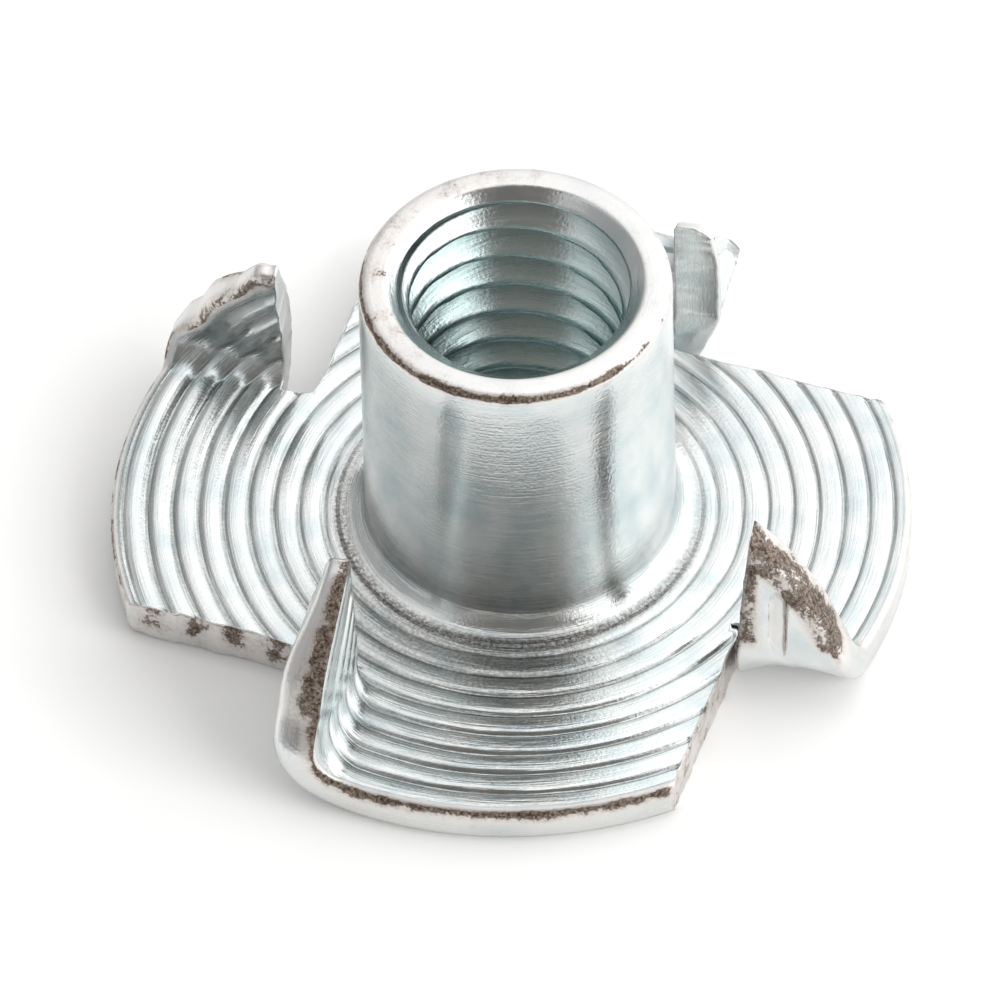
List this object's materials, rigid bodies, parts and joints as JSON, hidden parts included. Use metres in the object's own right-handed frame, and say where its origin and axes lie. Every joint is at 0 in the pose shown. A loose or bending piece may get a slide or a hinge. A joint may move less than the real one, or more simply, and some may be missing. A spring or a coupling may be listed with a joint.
{
  "type": "tee nut",
  "caption": "Pronged tee nut for an M6 bolt: round ring-grooved flange with prongs turned up from its rim and an internally threaded barrel, in bright zinc-plated steel.",
  "frame": {"origin": "centre of the flange's underside, on the barrel's axis", "axes": "+Z along the barrel, from the flange to the barrel's open end; the prongs' bend lines run along X and Y"},
  "size_m": [0.019, 0.019, 0.0092],
  "materials": {
    "zinc_plated_steel": "bright zinc plating, blue-white passivated"
  },
  "bodies": {
    "root": {"tee_nut": "zinc_plated_steel"}
  },
  "joints": []
}
